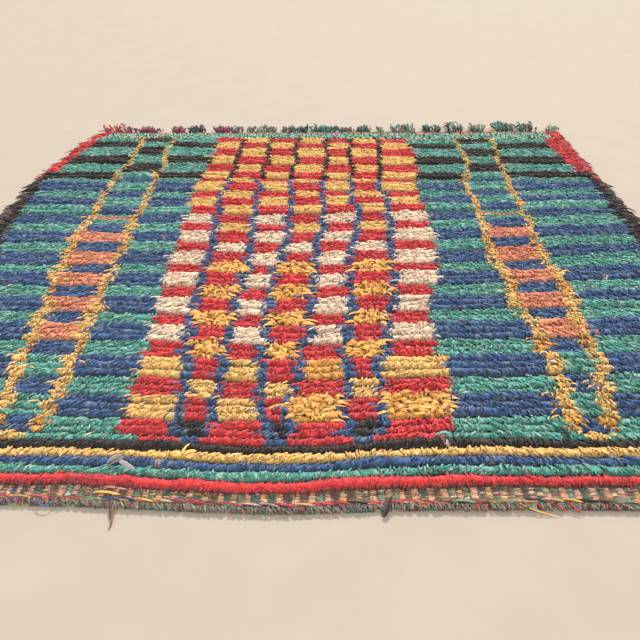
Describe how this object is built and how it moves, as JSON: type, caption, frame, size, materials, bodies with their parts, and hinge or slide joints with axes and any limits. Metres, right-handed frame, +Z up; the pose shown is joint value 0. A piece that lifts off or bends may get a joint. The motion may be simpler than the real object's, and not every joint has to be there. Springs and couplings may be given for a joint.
{
  "type": "boucherouite rug",
  "caption": "Handmade rag-pile rug lying flat, with lumpy rows of knots, shaggy side locks, tassels at one end and twined cords.",
  "frame": {"origin": "middle of the whole outline on the floor, under the rug", "axes": "+Z up from the underside, +X along the rows of knots, +Y from the near flatwoven hem to the tassels"},
  "size_m": [1.7683, 1.8926, 0.0389],
  "materials": {
    "rag_pile": "matt cotton and wool rag pile in red, green, blue, yellow, cream and black",
    "dark_locks": "matt black-brown wool rag, red towards the far end",
    "tassel_yarn": "matt mixed rag yarn, mostly dark green, teal and purple",
    "cord_yarn": "twined cotton yarn in short lengths of yellow, red, green and black",
    "satin_rag": "soft satin strip"
  },
  "bodies": {
    "root": {"rug_body": "rag_pile", "left_edge_locks": "dark_locks", "right_edge_locks": "dark_locks", "far_tassels": "tassel_yarn", "near_twined_cord": "cord_yarn", "far_twined_cord": "cord_yarn", "grey_rag": "satin_rag"}
  },
  "joints": []
}
